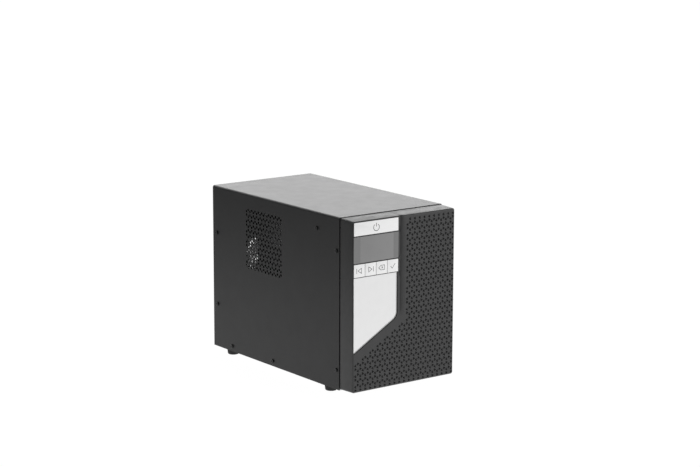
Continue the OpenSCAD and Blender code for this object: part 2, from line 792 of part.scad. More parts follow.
module main_board() {
    color("#1f5a34") difference() {
        block([-pcb_half, pcb_y0, pcb_z], [pcb_half, pcb_y1, pcb_z + pcb_t]);
        for (p = standoff_places())
            translate([p.x, p.y, pcb_z - 1]) cylinder(h = 4, r = 1.6 + fit);
    }
}

module board_standoffs() {
    color("#e8e6dc") for (p = standoff_places()) translate([p.x, p.y, 0]) {
        translate([0, 0, shelf_z - 1.5]) cylinder(h = pcb_z + pcb_t - shelf_z + 4.5, r = 1.6);
        translate([0, 0, shelf_z + sheet_t + fit / 2])
            cylinder(h = pcb_z - shelf_z - sheet_t - fit, r = 3.2);
    }
}

module heatsinks() {
    base_t = 5;
    fins = 9;
    fin_l = 22;
    fin_t = 2;
    z0 = pcb_z + pcb_t + 0.5;
    color("#b7babd") for (s = [-1, 1]) translate([s * (pcb_half - 16), 0, 0]) union() {
        block([-base_t / 2, sink_y0, z0], [base_t / 2, sink_y0 + sink_l, z0 + sink_h]);
        for (k = [0 : fins - 1])
            translate([s > 0 ? -fin_l - base_t / 2 + 1 : base_t / 2 - 1, sink_y0,
                       z0 + k * (sink_h - fin_t) / (fins - 1)])
                cube([fin_l, sink_l, fin_t]);
    }
}

module power_transistors() {
    z0 = pcb_z + pcb_t + 6;
    color("#1a1a1a") for (s = [-1, 1], k = [0 : 3])
        translate([s * (pcb_half - 16 + 2.5 + 2.6), sink_y0 + 12 + k * 20, z0 + 10])
            cube([4.8, 15.5, 20], center = true);
}

module capacitors() {
    z0 = pcb_z + pcb_t + 0.3;
    color("#23345c") {
        for (x = [-22, 0, 22], y = [16, 42])
            translate([x, pcb_y0 + y, z0]) cylinder(h = 36, r = 9);
    }
}

module relays() {
    z0 = pcb_z + pcb_t + 0.3;
    color("#2a2c30") for (k = [0 : 3])
        block([-40 + k * 22, pcb_y1 - 22, z0], [-40 + k * 22 + 16, pcb_y1 - 3, z0 + 16]);
}

// ---- Battery connections in the case ----

module battery_socket() {
    color("#8a8c8e") difference() {
        block([socket_x - 14, socket_y, socket_z - 9], [socket_x + 14, socket_y + socket_l, socket_z + 9]);
        for (s = [-1, 1])
            bar_y(socket_x + s * contact_dx, socket_z, socket_y - eps, socket_y + 13, 4.2);
    }
}

module dc_lead(s) {
    ends = [10, pcb_z - fit - socket_z];
    points = concat(dc_route, [ends]);
    lead([for (p = points) [socket_x + s * contact_dx, socket_y + socket_l + fit + p.x, socket_z + p.y]],
         dc_lead_r);
}

module dc_lead_red() {
    color("#b0201c") dc_lead(1);
}

module dc_lead_black() {
    color("#191919") dc_lead(-1);
}

module display_socket() {
    y0 = y_seam - 7;
    color("#e4e2d8") difference() {
        block([plug_x - 10.8, y0, plug_z - 4.3], [plug_x + 10.8, y_seam + 8, plug_z + 4.3]);
        block([plug_x - 9, y0 - eps, plug_z - 2.6], [plug_x + 9, y_seam + 3, plug_z + 2.6]);
    }
}

// ---- Battery drawer ----

module battery_tray() {
    fy = y_seam - fit - sheet_t;
    color("#a9abad") difference() {
        union() {
            block([-tray_half, fy, tray_z], [tray_half, tray_y1, tray_z + sheet_t]);
            both_sides([tray_half - sheet_t, fy, tray_z], [tray_half, tray_y1, tray_z + tray_wall_h]);
            block([-tray_half, tray_y1 - sheet_t, tray_z], [tray_half, tray_y1, tray_z + tray_wall_h]);
            block([-tray_half - lip, fy, tray_z], [tray_half + lip, fy + sheet_t, face_top]);
            block([socket_x - 18, tray_y1 - sheet_t, tray_z], [socket_x + 18, tray_y1, socket_z + 9]);
        }
        for (s = [-1, 1])
            bar_y(s * thumb_x, thumb_z, fy - eps, fy + sheet_t + eps, 2 + fit);
        for (s = [-1, 1])
            bar_y(s * 30, tray_z + 60, fy - eps, fy + sheet_t + eps, 2.2 + fit);
    }
}

// Six cells in a row along the battery, each with room for a stack of plates.
module cell_rooms(x0, shrink, lo, hi) {
    x1 = x0 + battery_w;
    inset = battery_wall + shrink;
    for (k = [0 : cells - 1]) {
        y = battery_y0 + battery_wall + k * (cell_l + battery_wall);
        block([x0 + inset, y + shrink, lo], [x1 - inset, y + cell_l - shrink, hi]);
    }
}

module battery(x0) {
    y1 = battery_y0 + battery_l;
    z1 = battery_z + battery_h;
    color("#33363a") difference() {
        union() {
            translate([0, 0, battery_z + fit]) linear_extrude(battery_h - battery_lid - fit)
                round_rect([x0 + 0.4, battery_y0 + 0.4], [x0 + battery_w - 0.4, y1 - 0.4], 2);
            translate([0, 0, z1 - battery_lid + 1]) linear_extrude(battery_lid - 1)
                round_rect([x0, battery_y0], [x0 + battery_w, y1], 2);
            translate([0, 0, z1 - battery_lid - eps]) linear_extrude(1 + 2 * eps)
                round_rect([x0 + 1, battery_y0 + 1], [x0 + battery_w - 1, y1 - 1], 2);
        }
        block([x0 + 10, battery_y0 + 26, z1 - 1.2], [x0 + battery_w - 10, y1 - 14, z1 + 1]);
        cell_rooms(x0, 0, battery_z + battery_wall, z1 - battery_wall - 1.2);
    }
}

// Stacks of lead plates, one in each cell of both batteries, with acid space over them.
module battery_plates() {
    acid_h = 30;
    side_gap = 2.6;
    color("#6b6f73") for (x0 = [-battery_w - battery_gap / 2, battery_gap / 2])
        cell_rooms(x0, side_gap, battery_z + battery_wall + fit,
                   battery_z + battery_h - battery_wall - acid_h);
}

module battery_left() {
    battery(-battery_w - battery_gap / 2);
}

module battery_right() {
    battery(battery_gap / 2);
}

// Blade terminals stand near the rear end of each battery, one on each side.
function terminal_places() = [
    for (b = [-1, 1], t = [-1, 1])
        [b * (battery_w + battery_gap) / 2 + t * (battery_w / 2 - 10), battery_y0 + battery_l - 8]
];

module battery_terminals() {
    z = battery_z + battery_h;
    color("#c7c9cb") for (p = terminal_places()) translate([p.x, p.y, z]) {
        translate([-0.4, -3.2, fit]) cube([0.8, 6.4, terminal_h - fit]);
        translate([-2.5, -4, fit / 2]) cube([5, 8, 1]);
    }
}

// Leads run from the blades over the drawer's back wall and down into the plug.
module battery_lead_red() {
    p = terminal_places()[3];
    x = socket_x + contact_dx;
    color("#b0201c")
        lead([[p.x, p.y + blade_reach, lead_z], [p.x - 1, p.y + 6, lead_z],
              [x + 3, lead_drop_y - 3, lead_z - 0.5], [x, lead_drop_y, lead_z - 5],
              [x, lead_drop_y, plug_top_z + fit]], lead_r);
}

// One from the outer blade of the left battery to the plug, one across between the batteries.
module battery_leads_black() {
    p = terminal_places()[0];
    a = terminal_places()[1];
    b = terminal_places()[2];
    x = socket_x - contact_dx;
    color("#191919") {
        lead([[p.x, p.y + blade_reach, lead_z], [p.x + 6, p.y + 7.5, lead_z],
              [p.x + 20, p.y + 9, lead_z - 1], [-8, p.y + 9, lead_z - 1], [16, p.y + 9, lead_z - 1],
              [x - 5, lead_drop_y - 3, lead_z - 0.5], [x, lead_drop_y, lead_z - 5],
              [x, lead_drop_y, plug_top_z + fit]], lead_r);
        lead([[a.x, a.y - blade_reach, lead_z], [a.x + 1, a.y - 9, lead_z], [0, a.y - 14, lead_z],
              [b.x - 1, b.y - 9, lead_z], [b.x, b.y - blade_reach, lead_z]], lead_r, up = [0, 0, 1]);
    }
}

module battery_plug() {
    y1 = tray_y1 + fit + plug_l;
    color("#8a8c8e") union() {
        block([socket_x - 11.5, tray_y1 + fit, socket_z - 6.5], [socket_x + 11.5, y1, plug_top_z]);
        for (s = [-1, 1])
            bar_y(socket_x + s * contact_dx, socket_z, y1 - eps, y1 + plug_pin_l, 3.8);
    }
}

module tray_screws() {
    fy = y_seam - fit - sheet_t;
    color("#c9cbcd") for (s = [-1, 1]) union() {
        bar_y(s * thumb_x, thumb_z, fy - 7 - fit, fy - fit, 4.5);
        bar_y(s * thumb_x, thumb_z, fy - fit - eps, y_seam + 6, 2);
    }
}

module pull_handle() {
    fy = y_seam - fit - sheet_t;
    z = tray_z + 60;
    color("#161616") union() {
        for (s = [-1, 1]) {
            block([s * 30 - 6, fy - fit - 3, z - 6], [s * 30 + 6, fy - fit, z + 6]);
            bar_y(s * 30, z, fy - fit - eps, y_seam + 0.9, 2.2);
            block([s * 30 - 5, fy - fit - 13, z - 5], [s * 30 + 5, fy - fit - 2, z + 5]);
        }
        block([-35, fy - fit - 15, z - 5], [35, fy - fit - 12, z + 5]);
    }
}

// ---- Front cover ----

// The leaning block of the front cover, w further in on every face but its open back at y1.
module bezel_block(w, y1) {
    y0 = y_front + w;
    x0 = half_w - bezel_lean_x - w;
    x1 = half_w - bezel_step - w;
    lo = z_bot + bezel_step + w;
    hi = z_top - bezel_step - w;
    lean_z = bezel_lean_z - bezel_step;
    intersection() {
        rotate([90, 0, 90]) translate([0, 0, -half_w]) linear_extrude(case_w)
            polygon([[y0, lo + lean_z], [y1, lo], [y1, hi], [y0, hi - lean_z]]);
        translate([0, 0, z_bot]) linear_extrude(case_h)
            polygon([[-x0, y0], [x0, y0], [x1, y1], [-x1, y1]]);
        along_y(y0, y1) round_rect([-x1, lo], [x1, hi], bend_r);
    }
}

// Outline of the light trim panel under the keys, grown by g on its free sides.
module trim_outline(g) {
    x0 = panel_x0;
    x1 = trim_x1 + g;
    r = trim_r;
    tip_z = trim_z0 - g / cos(trim_angle);
    corner_z = tip_z + (x1 - x0) * tan(trim_angle);
    run = r * tan((90 - trim_angle) / 2);
    c = [x1 - r, corner_z + run];
    difference() {
        polygon([[x0, tip_z], [x1, corner_z], [x1, trim_z1], [x0, trim_z1]]);
        difference() {
            polygon([[x1, corner_z], [x1 + 1, corner_z + run], [x1 - r, corner_z + run],
                     [x1 - run * cos(trim_angle), corner_z - run * sin(trim_angle)],
                     [x1, corner_z - 2]]);
            translate(c) circle(r, $fn = 96);
        }
    }
}

// Guide pins of a key, near its lower corners.
module key_pins(x0, x1, z0, z1, r, y0, y1) {
    for (x = [x0 + pin_inset, x1 - pin_inset])
        bar_y(x, (z0 + z1) / 2 - key_h / 4, y0, y1, r);
}

// Pocket behind one row of the display column, as deep as its piece needs.
module row_pocket(z0, z1, depth, gap) {
    block([panel_x0 - gap, y_front - 1, z0 - gap], [panel_x1 + gap, y_front + depth, z1 + gap]);
}

module front_cover() {
    color("#464646") difference() {
        union() {
            difference() {
                bezel_block(0, y_seam - seam_gap);
                bezel_block(bezel_wall, y_seam);
            }
            block([-half_w + bezel_lean_x + 1, y_front + 1, key_z0 - 3],
                  [groove_x1 + 1, floor_y1, power_z1 + 1]);
            block([groove_x0 - groove_back, y_front + 1, groove_z0 - groove_back],
                  [groove_x1 - 2, y_front + groove_depth + groove_back, power_z1 + 1]);
            for (p = peg_places) {
                bar_y(p.x, p.y, y_front + 1, y_seam - fit, boss_r);
                bar_y(p.x, p.y, y_front + 1, y_seam + 5, peg_d / 2);
            }
        }
        // Pockets of the keys and the window, with the holes behind them
        row_pocket(power_z0, power_z1, pocket_d, key_gap);
        row_pocket(window_z0, window_z1, window_y1 - y_front + fit, fit);
        row_pocket(trim_z1 + key_gap, key_z1, pocket_d, key_gap);
        block([panel_x0 + 3, y_front, window_z0 + 1], [panel_x1 - 1.5, floor_y1 + 1, window_z1 - 1]);
        for (p = switch_places())
            block([p.x - 3.4, y_front, p.y - 3.4], [p.x + 3.4, floor_y1 + 1, p.y + 3.4]);
        for (k = [0 : small_keys - 1])
            key_pins(panel_x0 + k * small_key_w, panel_x0 + (k + 1) * small_key_w, key_z0, key_z1,
                     pin_r + slide_fit, y_front, floor_y1 + 1);
        key_pins(panel_x0, panel_x1, power_z0, power_z1, pin_r + slide_fit, y_front, floor_y1 + 1);
        // Pocket of the trim panel and the scooped groove beside it
        along_y(y_front - 1, y_front + trim_pocket) trim_outline(trim_side_gap);
        translate([0, 0, groove_z0]) linear_extrude(z_top - groove_z0 + 1) difference() {
            translate([groove_x0, y_front - 1]) square([groove_w, groove_depth + 1]);
            translate([groove_x1, y_front + groove_r]) circle(groove_r, $fn = 96);
        }
    }
}

module trim_panel() {
    color("#e6e6e6") along_y(y_front - trim_proud, y_front + trim_pocket - fit) trim_outline(0);
}

module display_window() {
    color("#858585") block([panel_x0, y_front - trim_proud, window_z0], [panel_x1, window_y1, window_z1]);
}

module display_module() {
    color("#6f7a72") block([panel_x0 + 3.5, window_y1 + fit, window_z0 + 1.5],
                           [panel_x1 - 2, board_y - fit, window_z1 - 1.5]);
}

// The switch behind each key: the power switch first, then the four small keys.
function switch_places() = concat(
    [[(panel_x0 + panel_x1) / 2, (power_z0 + power_z1) / 2]],
    [for (k = [0 : small_keys - 1]) [panel_x0 + (k + 0.5) * small_key_w, (key_z0 + key_z1) / 2]]
);

// The board with its five push switches soldered on.
module display_board() {
    color("#1f5a34") union() {
        block([panel_x0 + 3, board_y, key_z0 + 1], [panel_x1 + 5, board_y + board_t, power_z1 - 3]);
        for (p = switch_places()) {
            block([p.x - 3, board_y - 3.2, p.y - 3], [p.x + 3, board_y + eps, p.y + 3]);
            bar_y(p.x, p.y, switch_top_y, board_y - 3, 1.7);
        }
    }
}

module display_plug() {
    color("#e4e2d8") block([plug_x - 8.6, board_y + board_t + fit, plug_z - 2.2],
                           [plug_x + 8.6, y_seam + 1.5, plug_z + 2.2]);
}

// A key cap with its two guide pins and the pad that presses the switch.
module key(x0, x1, z0, z1, switch_at) {
    color("#eeeeee") union() {
        along_y(y_front - trim_proud, cap_y1)
            round_rect([x0 + key_gap / 2, z0], [x1 - key_gap / 2, z1], 0.6);
        bar_y(switch_at.x, switch_at.y, cap_y1 - eps, pad_y1, 2);
        key_pins(x0, x1, z0, z1, pin_r, cap_y1 - eps, board_y - key_travel - 0.3);
    }
}

module small_key(k) {
    key(panel_x0 + k * small_key_w, panel_x0 + (k + 1) * small_key_w, key_z0, key_z1,
        switch_places()[k + 1]);
}

module power_key() {
    key(panel_x0, panel_x1, power_z0, power_z1, switch_places()[0]);
}

base_pan();
top_cover();
front_plate();
rear_panel();
shelf();
cross_brace();
tray_rails();
feet();
foot_screws();
cover_screws();
chassis_screws();
fan_frame();
fan_guard();
fan_screws();
fan_rotor();
ac_inlet();
inlet_pins();
breaker_body();
breaker_button();
outlet_bank(row_z[0]);  // outlet_bank_upper
outlet_bank(row_z[1]);  // outlet_bank_lower
usb_port();
serial_port();
surge_ports();
slot_cover();
panel_screws();
transformer_core();
transformer_coil();
transformer_bracket();
main_board();
board_standoffs();
heatsinks();
power_transistors();
capacitors();
relays();
battery_socket();
dc_lead_red();
dc_lead_black();
display_socket();
battery_tray();
battery_left();
battery_right();
battery_terminals();
battery_plates();
battery_lead_red();
battery_leads_black();
battery_plug();
tray_screws();
pull_handle();
front_cover();
trim_panel();
display_window();
display_module();
display_board();
display_plug();
power_key();
small_key(0);  // key_previous
small_key(1);  // key_next
small_key(2);  // key_clear
small_key(3);  // key_confirm
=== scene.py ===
"""Tower uninterruptible power supply: the visual model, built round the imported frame."""

import json
import math

import bmesh
import bpy
from mathutils import Matrix, Vector
from mathutils.geometry import delaunay_2d_cdt


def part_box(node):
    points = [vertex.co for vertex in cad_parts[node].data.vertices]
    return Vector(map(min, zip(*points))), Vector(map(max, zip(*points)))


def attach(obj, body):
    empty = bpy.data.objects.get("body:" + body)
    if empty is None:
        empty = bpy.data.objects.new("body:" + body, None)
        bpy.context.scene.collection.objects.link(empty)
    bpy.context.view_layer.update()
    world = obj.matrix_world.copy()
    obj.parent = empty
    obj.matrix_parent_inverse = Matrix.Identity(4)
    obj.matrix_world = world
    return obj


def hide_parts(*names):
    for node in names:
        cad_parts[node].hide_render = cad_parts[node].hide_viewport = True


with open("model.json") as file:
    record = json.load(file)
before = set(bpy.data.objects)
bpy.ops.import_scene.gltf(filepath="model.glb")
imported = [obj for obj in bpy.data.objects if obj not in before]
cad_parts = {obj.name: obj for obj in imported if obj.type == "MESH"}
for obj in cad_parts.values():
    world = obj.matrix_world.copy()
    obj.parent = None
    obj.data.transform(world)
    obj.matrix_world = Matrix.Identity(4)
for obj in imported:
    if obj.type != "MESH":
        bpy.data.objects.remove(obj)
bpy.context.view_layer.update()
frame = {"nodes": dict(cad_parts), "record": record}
NODES = frame["nodes"]

MM = 0.001

# ---------------------------------------------------------------- places, from the frame

case_lo, case_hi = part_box("top_cover")
front_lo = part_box("front_cover")[0]
FRONT_Y = front_lo.y / MM
SEAM_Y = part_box("front_plate")[0].y / MM
CASE_X = case_hi.x / MM
CASE_Z0 = case_lo.z / MM
CASE_Z1 = case_hi.z / MM
trim_lo, trim_hi = (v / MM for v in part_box("trim_panel"))
window_lo, window_hi = (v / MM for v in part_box("display_window"))
COLUMN_X0 = window_lo.x
COLUMN_X1 = window_hi.x
KEYS = ("power_key", "key_previous", "key_next", "key_clear", "key_confirm")

# ---------------------------------------------------------------- camera

CAMERA_YAW = -36.88
CAMERA_ELEVATION = 11.37
CAMERA_ROLL = 0.17
CAMERA_LENS = 105.23
CAMERA_TARGET = Vector((0.0313, -0.0045, 0.1821))
CAMERA_DISTANCE = 2.8


def add_camera():
    yaw, rise = math.radians(CAMERA_YAW), math.radians(CAMERA_ELEVATION)
    back = Vector((math.sin(yaw) * math.cos(rise), -math.cos(yaw) * math.cos(rise), math.sin(rise)))
    data = bpy.data.cameras.new("camera")
    data.lens = CAMERA_LENS
    data.sensor_width = 36
    data.clip_end = 100
    camera = bpy.data.objects.new("camera", data)
    bpy.context.scene.collection.objects.link(camera)
    camera.location = CAMERA_TARGET + back * CAMERA_DISTANCE
    roll = Matrix.Rotation(math.radians(CAMERA_ROLL), 3, "Z")
    camera.rotation_mode = "QUATERNION"
    camera.rotation_quaternion = (back.to_track_quat("Z", "Y").to_matrix() @ roll).to_quaternion()
    bpy.context.scene.camera = camera


# ---------------------------------------------------------------- materials


class Shader:
    """A Principled material whose inputs can be fed by procedural textures in object space."""

    def __init__(self, name, colour, roughness=0.5, metallic=0.0, ior=1.5, **sockets):
        self.material = bpy.data.materials.new(name)
        self.material.use_nodes = True
        self.nodes = self.material.node_tree.nodes
        self.links = self.material.node_tree.links
        self.bsdf = self.nodes["Principled BSDF"]
        self.colour = colour
        self.bsdf.inputs["Base Color"].default_value = (*colour, 1)
        self.bsdf.inputs["Roughness"].default_value = roughness
        self.bsdf.inputs["Metallic"].default_value = metallic
        self.bsdf.inputs["IOR"].default_value = ior
        for socket, value in sockets.items():
            self.bsdf.inputs[socket.replace("_", " ")].default_value = value
        self.roughness = roughness
        self.coords = self.nodes.new("ShaderNodeTexCoord").outputs["Object"]
        self.height = None

    def node(self, kind, **values):
        made = self.nodes.new("ShaderNode" + kind)
        for key, value in values.items():
            if hasattr(made, key):
                setattr(made, key, value)
            else:
                made.inputs[key.replace("_", " ")].default_value = value
        return made

    def noise(self, scale, detail=3.0, stretch=(1, 1, 1)):
        """A noise value from 0 to 1; scale is in features a metre."""
        mapping = self.node("Mapping", Scale=stretch)
        noise = self.node("TexNoise", Scale=scale, Detail=detail)
        self.links.new(self.coords, mapping.inputs["Vector"])
        self.links.new(mapping.outputs["Vector"], noise.inputs["Vector"])
        return noise.outputs["Fac"]

    def spread(self, value, low, high, from_low=0.3, from_high=0.7):
        made = self.node("MapRange", From_Min=from_low, From_Max=from_high, To_Min=low, To_Max=high)
        self.links.new(value, made.inputs["Value"])
        return made.outputs["Result"]

    def mottle(self, amount, scale, detail=3.0, stretch=(1, 1, 1)):
        """Lets the base colour drift lighter and darker by a share."""
        ramp = self.node("ValToRGB")
        ramp.color_ramp.elements[0].position = 0.3
        ramp.color_ramp.elements[1].position = 0.7
        ramp.color_ramp.elements[0].color = (*(c * (1 - amount) for c in self.colour), 1)
        ramp.color_ramp.elements[1].color = (*(c * (1 + amount) for c in self.colour), 1)
        self.links.new(self.noise(scale, detail, stretch), ramp.inputs["Fac"])
        self.links.new(ramp.outputs["Color"], self.bsdf.inputs["Base Color"])
        return self

    def uneven(self, amount, scale, stretch=(1, 1, 1)):
        """Lets the roughness drift by an amount each way."""
        noise = self.noise(scale, 4.0, stretch)
        value = self.spread(noise, self.roughness - amount, self.roughness + amount)
        self.links.new(value, self.bsdf.inputs["Roughness"])
        return self

    def grain(self, depth, scale, detail=2.0, stretch=(1, 1, 1)):
        """Raises a fine texture, depth in metres; calls stack."""
        bump = self.node("Bump", Strength=1.0, Distance=depth)
        self.links.new(self.noise(scale, detail, stretch), bump.inputs["Height"])
        if self.height:
            self.links.new(self.height, bump.inputs["Normal"])
        self.height = bump.outputs["Normal"]
        self.links.new(self.height, self.bsdf.inputs["Normal"])
        return self


def case_paint():
    shader = Shader("case_paint", (0.012, 0.012, 0.0125), roughness=0.4, ior=1.38)
    return shader.mottle(0.1, 35).uneven(0.015, 60).grain(0.00003, 1500).grain(0.00006, 500).material


def front_plastic():
    shader = Shader("front_plastic", (0.0305, 0.0305, 0.031), roughness=0.43, ior=1.46)
    return shader.mottle(0.08, 50).uneven(0.05, 120).grain(0.00002, 2200).material


def plain_plastic(name, colour, roughness=0.45, drift=0.05):
    shader = Shader(name, colour, roughness=roughness)
    return shader.mottle(drift, 90).uneven(0.06, 200).grain(0.00001, 2500).material


def zinc():
    shader = Shader("zinc_steel", (0.5, 0.51, 0.52), roughness=0.34, metallic=0.9)
    return shader.mottle(0.14, 160, 5).uneven(0.08, 220).grain(0.00001, 900, 2).material


def bright_metal(name, colour, roughness=0.25):
    shader = Shader(name, colour, roughness=roughness, metallic=1.0)
    return shader.mottle(0.06, 300).uneven(0.06, 400).grain(0.000008, 1500).material


def rubber():
    shader = Shader("foot_rubber", (0.01, 0.01, 0.01), roughness=0.7)
    return shader.mottle(0.25, 150).uneven(0.1, 300).grain(0.00005, 900).material


def copper():
    shader = Shader("copper_coil", (0.42, 0.17, 0.05), roughness=0.35, metallic=0.7)
    return shader.mottle(0.25, 90).grain(0.0004, 700, 0, (0.1, 0.1, 1)).uneven(0.08, 150).material


def laminations():
    shader = Shader("core_steel", (0.09, 0.09, 0.1), roughness=0.45, metallic=0.6)
    return shader.mottle(0.3, 600, 2, (0.02, 1, 0.02)).grain(0.0003, 900, 0, (0.02, 1, 0.02)).material


def board_green():
    shader = Shader("board_green", (0.015, 0.1, 0.04), roughness=0.3, Coat_Weight=0.4)
    return shader.mottle(0.35, 240, 6).uneven(0.08, 500).grain(0.00002, 1200).material


def window_plastic():
    shader = Shader("window_plastic", (0.203, 0.203, 0.203), roughness=0.22, Coat_Weight=0.3)
    return shader.mottle(0.03, 40).uneven(0.04, 100).grain(0.000003, 700).material


MATERIALS = {
    "cover_paint": case_paint(),
    "zinc_steel": zinc(),
    "black_screw": plain_plastic("black_screw", (0.014, 0.014, 0.0145), 0.4),
    "plain_screw": bright_metal("plain_screw", (0.6, 0.6, 0.61), 0.28),
    "foot_rubber": rubber(),
    "front_plastic": front_plastic(),
    "trim_plastic": plain_plastic("trim_plastic", (0.82, 0.82, 0.82), 0.4, 0.01),
    "key_plastic": plain_plastic("key_plastic", (0.86, 0.86, 0.86), 0.4, 0.01),
    "window_plastic": window_plastic(),
    "lcd_glass": plain_plastic("lcd_glass", (0.12, 0.14, 0.12), 0.12),
    "black_plastic": plain_plastic("black_plastic", (0.013, 0.013, 0.014), 0.42),
    "rail_plastic": plain_plastic("rail_plastic", (0.62, 0.62, 0.58), 0.5),
    "grey_plastic": plain_plastic("grey_plastic", (0.22, 0.23, 0.24), 0.45),
    "ivory_plastic": plain_plastic("ivory_plastic", (0.68, 0.65, 0.56), 0.45),
    "battery_plastic": plain_plastic("battery_plastic", (0.03, 0.033, 0.037), 0.38),
    "red_plastic": plain_plastic("red_plastic", (0.42, 0.015, 0.015), 0.3),
    "bright_metal": bright_metal("bright_metal", (0.68, 0.68, 0.68)),
    "contact_brass": bright_metal("contact_brass", (0.7, 0.6, 0.36)),
    "lead_plates": plain_plastic("lead_plates", (0.16, 0.17, 0.18), 0.7),
    "core_steel": laminations(),
    "copper_coil": copper(),
    "board_green": board_green(),
    "sink_aluminium": bright_metal("sink_aluminium", (0.6, 0.61, 0.63), 0.35),
    "cap_sleeve": plain_plastic("cap_sleeve", (0.02, 0.045, 0.13), 0.25),
    "relay_plastic": plain_plastic("relay_plastic", (0.02, 0.02, 0.024), 0.3),
    "red_lead": plain_plastic("red_lead", (0.35, 0.01, 0.01), 0.4),
    "black_lead": plain_plastic("black_lead", (0.012, 0.012, 0.012), 0.4),
}
print_ink = plain_plastic("print_ink", (0.09, 0.09, 0.09), 0.5)
# Painted shade: the keys' side walls are white plastic in shadow, coloured dark grey to stand in for the
# shade in the gaps between keys.
key_side_painted_shade = plain_plastic("key_side_painted_shade", (0.09, 0.09, 0.09), 0.5)
# Painted shade: the trim's chamfer is white plastic, coloured grey to stand in for the occlusion where its
# edge turns down into the dark gap.
chamfer_painted_shade = plain_plastic("chamfer_painted_shade", (0.33, 0.33, 0.33), 0.35)


def paint_frame():
    """Gives every node of the frame the finish of its slot in the record."""
    for part in frame["record"]["subparts"]:
        mesh = NODES[part["node"]].data
        mesh.materials.clear()
        mesh.materials.append(MATERIALS[part["material_slot"]])


# ---------------------------------------------------------------- mesh helpers, in millimetres


def finish_mesh(name, bm, materials, body, replaces=(), smooth_angle=35):
    """Turns a bmesh in millimetres into a piece that rides on a body."""
    bmesh.ops.remove_doubles(bm, verts=bm.verts, dist=0.001)
    bmesh.ops.recalc_face_normals(bm, faces=bm.faces)
    bmesh.ops.scale(bm, vec=(MM, MM, MM), verts=bm.verts)
    mesh = bpy.data.meshes.new(name)
    for face in bm.faces:
        face.smooth = True
    bm.to_mesh(mesh)
    bm.free()
    mesh.set_sharp_from_angle(angle=math.radians(smooth_angle))
    for material in materials:
        mesh.materials.append(material)
    piece = bpy.data.objects.new(name, mesh)
    bpy.context.scene.collection.objects.link(piece)
    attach(piece, body)
    if replaces:
        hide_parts(*replaces)
    return piece


def arc(centre, radius, start, end, steps):
    """Points on an arc in degrees, both ends included."""
    angles = [math.radians(start + (end - start) * i / steps) for i in range(steps + 1)]
    return [(centre[0] + radius * math.cos(a), centre[1] + radius * math.sin(a)) for a in angles]


def rounded_rect(x0, x1, z0, z1, radius, steps=5, top_x=()):
    """A rectangle with round corners, anticlockwise from its lower left; top_x adds points on top."""
    loop = arc((x0 + radius, z0 + radius), radius, 180, 270, steps)
    loop += arc((x1 - radius, z0 + radius), radius, 270, 360, steps)
    loop += arc((x1 - radius, z1 - radius), radius, 0, 90, steps)
    loop += [(x, z1) for x in sorted(top_x, reverse=True)]
    loop += arc((x0 + radius, z1 - radius), radius, 90, 180, steps)
    return loop


def add_ring(bm, loop, y):
    """Vertices of an X-Z loop at depth y, which is a number or a function of x and z."""
    return [bm.verts.new((x, y(x, z) if callable(y) else y, z)) for x, z in loop]


def bridge(bm, first, second, material=0):
    for i in range(len(first)):
        j = (i + 1) % len(first)
        corners = [first[i], first[j], second[j], second[i]]
        if len({tuple(round(c, 5) for c in v.co) for v in corners}) > 2:
            bm.faces.new(corners).material_index = material


def cap(bm, ring, material=0):
    bm.faces.new(ring).material_index = material


def shrink(loop, share):
    """A loop drawn in towards its own middle."""
    cx = sum(p[0] for p in loop) / len(loop)
    cz = sum(p[1] for p in loop) / len(loop)
    return [(cx + (x - cx) * share, cz + (z - cz) * share) for x, z in loop]


# ---------------------------------------------------------------- front cover

WALL = 3.0
SEAM_GAP = 0.9
LEAN_X = 1.2
LEAN_Z = 1.7
RIM_STEP = 0.8
EDGE_R = 2.3
CORNER_R = 3.0
RIDGE_W = 3.0
GROOVE_W = 9.2
GROOVE_R = 11.7
GROOVE_FADE = (88.0, 112.0)
POCKET_DEPTH = 3.2
WINDOW_DEPTH = 1.7
TRIM_DEPTH = 1.4
BLOCK_DEPTH = 5.6
TRIM_ANGLE = math.radians(30)
TRIM_R = 13.0
DIMPLE_PITCH = 4.7
DIMPLE_COLUMN = 4.0
DIMPLE_SIDE = 5.0
DIMPLE_DEPTH = 1.9
DIMPLE_FLOOR = 0.45

groove_x0 = COLUMN_X1 + RIDGE_W
groove_x1 = groove_x0 + GROOVE_W


def smooth_step(value, low, high):
    t = min(max((value - low) / (high - low), 0), 1)
    return t * t * (3 - 2 * t)


def groove_depth(x, z):
    """How deep the scooped groove beside the display column is at a place on the front."""
    if x <= groove_x0 or x >= groove_x1:
        return 0.0
    scoop = GROOVE_R - math.sqrt(GROOVE_R ** 2 - (groove_x1 - x) ** 2)
    return scoop * smooth_step(z - CASE_Z0, *GROOVE_FADE)


def groove_columns():
    """Places across the groove where the front needs points, closer together where it is steep."""
    first = [groove_x0, groove_x0 + 0.15, groove_x0 + 0.6]
    count = 9
    span = groove_x1 - first[-1]
    return first + [first[-1] + span * i / count for i in range(1, count + 1)]


def trim_outline(inset=0.0, edge=0.0):
    """The trim panel's outline, drawn in by inset on its slanted side and right, by edge elsewhere."""
    x0 = trim_lo.x + edge
    x1 = trim_hi.x - inset
    top = trim_hi.z - edge
    tip = trim_lo.z + inset / math.cos(TRIM_ANGLE)
    radius = TRIM_R - inset
    run = radius * math.tan((math.pi / 2 - TRIM_ANGLE) / 2)
    corner = tip + (x1 - trim_lo.x) * math.tan(TRIM_ANGLE)
    turn = arc((x1 - radius, corner + run), radius, math.degrees(TRIM_ANGLE) - 90, 0, 12)
    return [(x0, tip + edge * math.tan(TRIM_ANGLE)), *turn, (x1, top), (x0, top)]


def in_loop(point, loop):
    x, z = point
    inside = False
    for (xa, za), (xb, zb) in zip(loop, loop[1:] + loop[:1]):
        if (za > z) != (zb > z) and x < (xb - xa) * (z - za) / (zb - za) + xa:
            inside = not inside
    return inside


